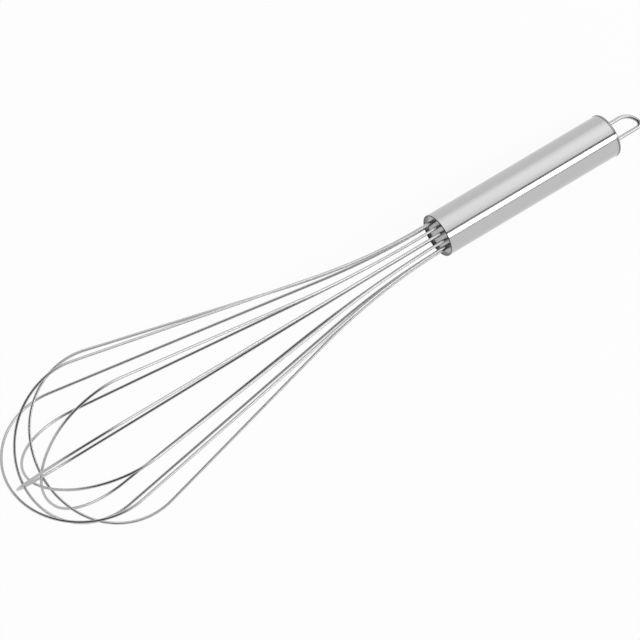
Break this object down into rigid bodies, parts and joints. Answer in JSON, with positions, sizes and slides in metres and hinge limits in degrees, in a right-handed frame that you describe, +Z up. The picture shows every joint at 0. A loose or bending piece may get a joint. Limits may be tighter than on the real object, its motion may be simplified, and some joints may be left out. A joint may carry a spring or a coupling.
{
  "type": "whisk",
  "caption": "Balloon whisk of polished stainless steel: round wire loops sealed into a plain tube handle with a flat end cap and a small wire hanging loop.",
  "frame": {"origin": "on the floor, under the middle of the room that the whisk takes up as it lies", "axes": "+X from the hanging loop to the tip of the loops, seen from above; +Z up from the floor; the handle's axis rises 5.22 degrees from the cap to the tip"},
  "size_m": [0.4022, 0.0916, 0.0867],
  "materials": {
    "handle_steel": "bright polished stainless steel tube",
    "cap_steel": "polished stainless steel",
    "loop_wire": "bright drawn and polished spring wire",
    "hanging_wire": "bright drawn wire",
    "inner_steel": "plain milled steel, hidden inside",
    "plug_steel": "satin steel, turned"
  },
  "bodies": {
    "root": {"handle_tube": "handle_steel", "end_cap": "cap_steel", "hanging_loop": "hanging_wire", "loop_anchor_plate": "inner_steel", "mouth_seal": "plug_steel", "front_wire_plate": "inner_steel", "rear_wire_plate": "inner_steel", "plate_post": "inner_steel", "wire_loop_1": "loop_wire", "wire_loop_2": "loop_wire", "wire_loop_3": "loop_wire", "wire_loop_4": "loop_wire", "wire_loop_5": "loop_wire", "wire_loop_6": "loop_wire"}
  },
  "joints": []
}
